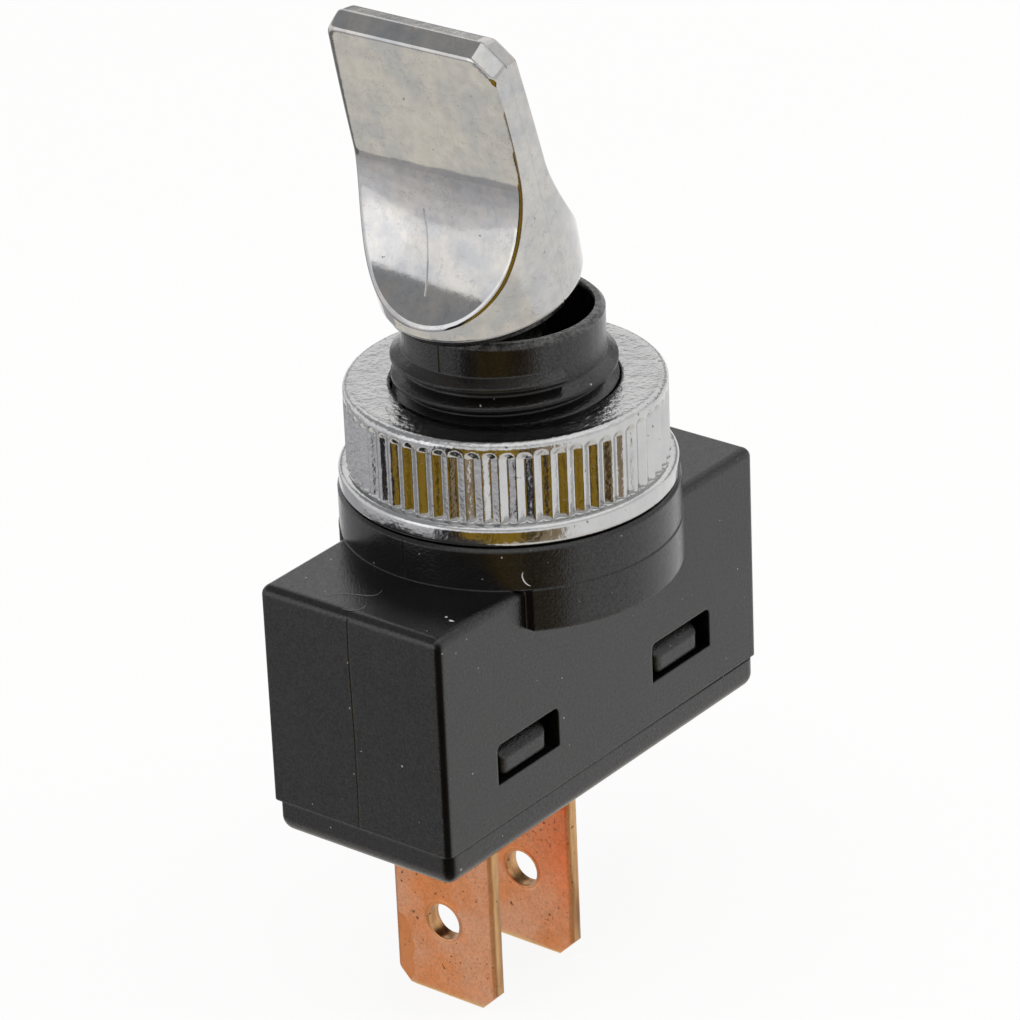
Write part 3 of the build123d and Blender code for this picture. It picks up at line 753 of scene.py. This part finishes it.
def add_nut():
    """The nut's skin: its profile turned round the axis, with the knurl's grooves taken off."""
    low, high = FLANGE_LOW_ROUND, FLANGE_ROUND
    profile = [(NUT_BORE_R, BORE_LOW)]
    profile += arc_points((FLANGE_R - low, NUT_LOW + low), low, -90, 0, 7)
    profile += arc_points((FLANGE_R - high, FLANGE_TOP - high), high, 0, 84, 8)
    profile += [(r, FLANGE_TOP + 0.01) for r in np.linspace(KNURL_R + 0.04, KNURL_R - 0.2, 2)]
    knurl_low = len(profile)
    profile += [(KNURL_R, LEDGE + 0.05 * t) for t in (0, 0.5, 1)]
    profile += [(KNURL_R, z) for z in np.linspace(*GROOVE_ROWS)]
    profile += [(KNURL_R, z) for z in np.linspace(*END_ROWS)]
    profile += arc_points((KNURL_R - TOP_ROUND, TOP_ROUND_Z), TOP_ROUND, 10, 84, 8)
    knurl_high = len(profile)
    profile += [(r, NUT_TOP) for r in np.linspace(*TOP_ROWS)]
    corner = (NUT_BORE_R + BORE_ROUND, NUT_TOP - BORE_ROUND)
    profile += arc_points(corner, BORE_ROUND, 90, 180, 6)
    profile += [(NUT_BORE_R, BORE_MIDDLE)]
    profile = np.array(profile)

    pitch = 2 * math.pi / KNURL_COUNT
    spread = np.array(PITCH_STEPS) * pitch / 2
    one = np.concatenate([spread, pitch - spread[-2:0:-1]])
    angles = (np.arange(KNURL_COUNT)[:, None] * pitch + one[None, :]).ravel()
    sideways = np.tile(np.minimum(one, pitch - one), KNURL_COUNT)[None, :] * KNURL_R
    chance = np.random.default_rng(11)
    owner = (np.arange(KNURL_COUNT)[:, None] + (one > pitch / 2)[None, :]).ravel() % KNURL_COUNT
    widths = GROOVE_HALF + WIDTH_SPREAD * chance.standard_normal(KNURL_COUNT)
    widths = widths[owner][None, :]
    tops = (GROOVE_HIGH - TOP_SPREAD * chance.random(KNURL_COUNT))[owner][None, :]
    radii = profile[:, 0][:, None] + 0 * sideways
    heights = profile[:, 1][:, None] + 0 * sideways
    beyond = np.maximum(heights - (tops - widths), 0)
    reach = np.sqrt(sideways**2 + beyond**2 + GROOVE_BLUNT**2)
    slack = (widths - reach) * GROOVE_SLOPE
    cut = (slack + np.sqrt(slack**2 + GROOVE_EASE**2)) / 2
    rows = np.arange(len(profile))[:, None]
    knurled = (rows >= knurl_low) & (rows < knurl_high)
    uneven = PLATING_SPREAD * chance.random(radii.shape)
    radii = radii - np.where(knurled, cut + uneven, 0)
    turn = angles + math.radians(KNURL_PHASE)
    points = np.stack([radii * np.cos(turn), radii * np.sin(turn), heights], axis=-1)
    faces = grid_faces(len(profile), len(angles), wrap=True)
    piece = add_piece("nut_skin", points.reshape(-1, 3), faces, "nut", "nut")
    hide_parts("dress_nut")


add_nut()


# SMALL MARKS OF THE MOULDING: hair-thin flash, a fibre and shreds of plastic

FLASH_R = 0.035
STRAND_SIDES = 6
STRANDS = {
    "flash_long": [
        (-12.0, 1.9, TOP_FACE_Z),
        (-11.26, 1.37, TOP_FACE_Z),
        (-11.0, 0.6, TOP_FACE_Z),
        (-10.6, 0.12, TOP_FACE_Z),
        (-9.96, 0.15, TOP_FACE_Z),
    ],
    "flash_short": [
        (-12.55, 0.5, TOP_FACE_Z),
        (-12.36, -0.1, TOP_FACE_Z),
        (-11.9, -0.28, TOP_FACE_Z),
        (-11.4, -0.05, TOP_FACE_Z),
    ],
    "fibre": [
        (-6.33, -5.63, -1.2),
        (-6.36, -5.6, -1.45),
        (-6.28, -5.69, -1.75),
        (-6.1, -5.88, -1.96),
    ],
}


def add_strand(name, corners, material):
    """A thin tube along a curve through the corners, tapered to its ends."""
    corners = np.array(corners)
    steps = np.linspace(0, len(corners) - 1, 8 * len(corners))
    knots = np.arange(len(corners))
    degree = min(3, len(corners) - 1)
    curves = [np.polyfit(knots, corners[:, k], degree) for k in range(3)]
    path = np.stack([np.polyval(curve, steps) for curve in curves], axis=-1)
    along = np.gradient(path, axis=0)
    along /= np.linalg.norm(along, axis=1)[:, None]
    one = np.cross(along, (0.3, 0.5, 0.8))
    one /= np.linalg.norm(one, axis=1)[:, None]
    two = np.cross(along, one)
    radii = FLASH_R * (0.3 + 0.7 * np.sin(np.pi * steps / steps[-1]))
    turns = np.arange(STRAND_SIDES) * 2 * math.pi / STRAND_SIDES
    ring = np.cos(turns)[None, :, None] * one[:, None, :]
    ring = ring + np.sin(turns)[None, :, None] * two[:, None, :]
    points = path[:, None, :] + radii[:, None, None] * ring
    faces = tube_faces(len(path), STRAND_SIDES)
    add_piece(name, points.reshape(-1, 3), faces, material, "switch_body")


def add_chip(name, centre, size, seed):
    """A small irregular shred lying on the moulding."""
    chance = np.random.default_rng(seed)
    corners = np.array([(1, 0, 0), (0, 1, 0), (-1, 0, 0), (0, -1, 0), (0, 0, 0.5), (0, 0, -0.3)])
    points = np.array(centre) + corners * np.array(size) * chance.uniform(0.5, 1, (6, 1))
    faces = [(0, 1, 4), (1, 2, 4), (2, 3, 4), (3, 0, 4), (1, 0, 5), (2, 1, 5), (3, 2, 5), (0, 3, 5)]
    add_piece(name, points, faces, "chip", "switch_body")


for name, corners in STRANDS.items():
    add_strand(name, corners, "chip" if name == "fibre" else "flash")
add_chip("shred_near", (-10.66, -4.62, TOP_FACE_Z), (0.14, 0.28, 0.12), 3)
add_chip("shred_far", (-10.5, -4.2, TOP_FACE_Z), (0.1, 0.14, 0.1), 4)


# THE PLUNGER'S SPRING: a coil that stands upright about the pivot like the paddle, between the
# plunger's shoulder and the end of the stem's bore.
COIL_R = 1.2
WIRE_R = 0.17
WIRE_SIDES = 8
COIL_TURNS = 6.5
TURN_STEPS = 24
COIL_LOW = -6.18
COIL_HIGH = -2.32


def add_spring():
    """Round wire along a helix, on the lever, in place of the CAD's rigid spring."""
    steps = int(COIL_TURNS * TURN_STEPS) + 1
    turn = np.linspace(0, 2 * math.pi * COIL_TURNS, steps)[:, None]
    rise = np.linspace(COIL_LOW + WIRE_R, COIL_HIGH - WIRE_R, steps)[:, None]
    ring = (np.arange(WIRE_SIDES) * 2 * math.pi / WIRE_SIDES)[None, :]
    radii = COIL_R + WIRE_R * np.cos(ring)
    heights = rise - WIRE_R * np.sin(ring)
    points = np.stack([radii * np.cos(turn), radii * np.sin(turn), heights], axis=-1)
    faces = tube_faces(steps, WIRE_SIDES)
    piece = add_piece("spring_coil", on_lever(points), faces, "steel", "lever")
    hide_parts("plunger_spring")
    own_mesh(piece)


add_spring()


# SURROUNDINGS: a pale floor, a white world, and toned cards round the object that show in mirror
# reflections alone, as a photographer would set them up. Cards are placed by degrees.
WORLD_LIGHT = 0.55
FLOOR_HALF = 3000
CARD_DISTANCE = 400
CARD_STEP = 4
LAMP_DISTANCE = 700


def stage_piece(name, points, faces, material):
    """A mesh of the studio, which isn't part of the object."""
    mesh = bpy.data.meshes.new(name)
    mesh.from_pydata(points, [], faces)
    mesh.materials.append(material)
    piece = bpy.data.objects.new(name, mesh)
    bpy.context.scene.collection.objects.link(piece)
    return piece


def floor_material():
    """Pale floor that shows as white and keeps the object's soft shadow."""
    g = Graph("floor_pale")
    tone = g.ramp(g.noise(14, 3, 0.5), [(0.3, (0.91, 0.895, 0.87)), (0.7, (0.95, 0.94, 0.925))])
    g.set(Base_Color=tone, Roughness=0.7)
    glow = g.add("ShaderNodeEmission", {"Color": (1, 1, 1, 1), "Strength": 1.0})
    path = g.add("ShaderNodeLightPath")
    seen = g.times(path.outputs["Is Camera Ray"], 0.9)
    mix = g.add("ShaderNodeMixShader", {0: seen, 1: g.shader.outputs[0], 2: glow.outputs[0]})
    g.links.new(mix.outputs[0], g.out.inputs[0])
    return g.material


def card_material(name, colour, strength):
    """A plain glow."""
    g = Graph(name)
    glow = g.add("ShaderNodeEmission", {"Color": (*colour, 1), "Strength": strength})
    g.links.new(glow.outputs[0], g.out.inputs[0])
    return g.material


def band_card(name, start, end, low, high, material):
    """A curved card round the object between two azimuths and two elevations, in degrees, which
    shows in reflections alone, so that it shades nothing."""
    points = []
    faces = []
    steps = max(2, int((end - start) / CARD_STEP))
    for i, azimuth in enumerate(np.radians(np.linspace(start, end, steps + 1))):
        for slope in (low, high):
            e = math.radians(slope)
            level = CARD_DISTANCE * math.cos(e)
            side = (level * math.cos(azimuth), level * math.sin(azimuth))
            points.append(Vector((*side, CARD_DISTANCE * math.sin(e))) * MM)
        if i:
            k = 2 * i
            faces.append((k - 2, k, k + 1, k - 1))
    card = stage_piece(name, points, faces, material)
    for ray in ("camera", "diffuse", "transmission", "shadow"):
        setattr(card, "visible_" + ray, False)


def add_floor():
    """The floor that the object stands on, which mirrors don't show."""
    corners = [(-1, -1), (1, -1), (1, 1), (-1, 1)]
    points = [Vector((x * FLOOR_HALF, y * FLOOR_HALF, FLOOR_Z)) * MM for x, y in corners]
    floor = stage_piece("floor", points, [(0, 1, 2, 3)], floor_material())
    floor.visible_glossy = False


def add_cards():
    # name, azimuths from and to, elevations from and to, colour, strength
    white, sky, day = (1.0, 1.0, 1.0), (0.96, 0.97, 1.0), (0.98, 0.98, 1.0)
    cool, warm, gold = (0.97, 0.965, 1.0), (1.0, 0.97, 0.915), (1.0, 0.62, 0.07)
    cards = [
        ("ceiling", 75, 160, 21, 88, sky, 0.38),
        ("haze", 160, 235, 21, 48, sky, 0.6),
        ("overhead", 160, 340, 48, 88, white, 1.2),
        ("side_wall", 235, 340, 21, 48, white, 0.8),
        ("back_wall", -20, 75, 20, 40, white, 1.08),
        ("back_low", -20, 75, 4, 20, white, 0.38),
        ("softbox", 147, 174, -12, 20, day, 1.6),
        ("soft_side", 137, 147, -12, 20, day, 1.25),
        ("soft_end", 112, 137, -12, 20, cool, 0.95),
        ("gap_high", 100, 168, -16, -12, cool, 0.92),
        ("gap", 100, 168, -20, -16, cool, 0.8),
        ("gap_low", 100, 168, -24, -20, cool, 0.68),
        ("edge_high", 100, 168, -28, -24, cool, 0.58),
        ("edge", 128, 168, -36, -28, cool, 0.5),
        ("edge_far", 100, 128, -36, -28, cool, 0.22),
        ("table", 0, 360, -88, -36, warm, 0.88),
        ("table_far", 62, 100, -36, -6, cool, 0.5),
        ("dark", 168, 186, -36, -6, (0.9, 0.85, 1.0), 0.03),
        ("gold_left", 186, 201, -36, -6, gold, 0.3),
        ("dark_gap", 201, 206, -36, -6, gold, 0.1),
        ("gold", 206, 226, -36, -6, gold, 0.31),
        ("dark_end", 226, 235, -36, -6, gold, 0.03),
        ("brown", 235, 254, -36, -6, (1.0, 0.75, 0.45), 0.3),
    ]
    for name, start, end, low, high, colour, strength in cards:
        material = card_material(name + "_card", colour, strength)
        band_card(name, start, end, low, high, material)


def add_world():
    """A world that is white to the camera and in mirrors, and lights the object more dimly."""
    world = bpy.data.worlds.new("studio")
    world.use_nodes = True
    bpy.context.scene.world = world
    nodes = world.node_tree.nodes
    links = world.node_tree.links
    shine = nodes["Background"]
    shine.inputs["Color"].default_value = (1, 1, 1, 1)
    path = nodes.new("ShaderNodeLightPath")
    seen = path.outputs["Is Camera Ray"]
    for ray in ("Is Glossy Ray", "Is Transmission Ray"):
        either = nodes.new("ShaderNodeMath")
        either.operation = "MAXIMUM"
        links.new(seen, either.inputs[0])
        links.new(path.outputs[ray], either.inputs[1])
        seen = either.outputs[0]
    level = nodes.new("ShaderNodeMapRange")
    level.inputs["To Min"].default_value = WORLD_LIGHT
    level.inputs["To Max"].default_value = 1.0
    links.new(seen, level.inputs["Value"])
    links.new(level.outputs[0], shine.inputs["Strength"])


def area_lamp(name, azimuth, elevation, size, watts):
    """A soft lamp that looks at the origin and doesn't show in reflections."""
    a = math.radians(azimuth)
    e = math.radians(elevation)
    towards = Vector((math.cos(a) * math.cos(e), math.sin(a) * math.cos(e), math.sin(e)))
    place = towards * LAMP_DISTANCE
    data = bpy.data.lights.new(name, "AREA")
    data.shape = "RECTANGLE"
    data.size = size[0] * MM
    data.size_y = size[1] * MM
    data.energy = watts
    lamp = bpy.data.objects.new(name, data)
    lamp.location = place * MM
    lamp.rotation_euler = place.to_track_quat("Z", "Y").to_euler()
    bpy.context.scene.collection.objects.link(lamp)
    lamp.visible_glossy = False


add_floor()
add_cards()
add_world()
area_lamp("key", 150, 12, (560, 420), 1.2)
area_lamp("top", 210, 72, (600, 600), 2.0)
area_lamp("side", 310, 30, (500, 400), 0.9)

bpy.context.scene.view_settings.view_transform = "Standard"

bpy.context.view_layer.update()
